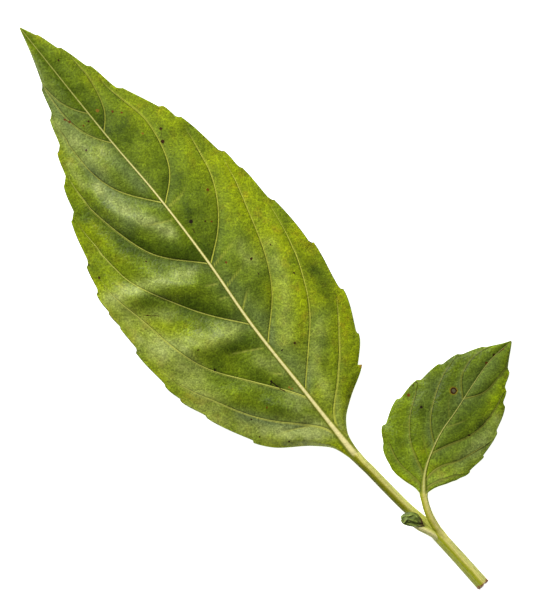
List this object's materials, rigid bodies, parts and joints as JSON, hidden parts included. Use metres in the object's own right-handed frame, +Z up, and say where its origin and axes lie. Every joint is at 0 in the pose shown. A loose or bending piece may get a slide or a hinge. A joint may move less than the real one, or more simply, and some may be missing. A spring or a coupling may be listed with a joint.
{
  "type": "basil sprig",
  "caption": "Cut sprig of sweet basil lying flat: short ridged stem, a large and a small toothed leaf with raised midribs, and a folded side shoot.",
  "frame": {"origin": "on the surface the sprig lies on, under the middle of its bounding box", "axes": "+Z up out of the leaves' upper sides; +Y is the longer side of the box and runs from the stem's cut end to the large leaf's tip, which points to -X and +Y"},
  "size_m": [0.0788, 0.0899, 0.0036],
  "materials": {
    "stem": "satin",
    "large_leaf": "satin",
    "small_leaf": "satin",
    "side_shoot": "satin",
    "bud_leaf": "satin"
  },
  "bodies": {
    "root": {"stem": "stem", "large_leaf": "large_leaf", "small_leaf": "small_leaf", "side_shoot": "side_shoot", "bud_leaf_outer": "bud_leaf", "bud_leaf_inner": "bud_leaf"}
  },
  "joints": []
}
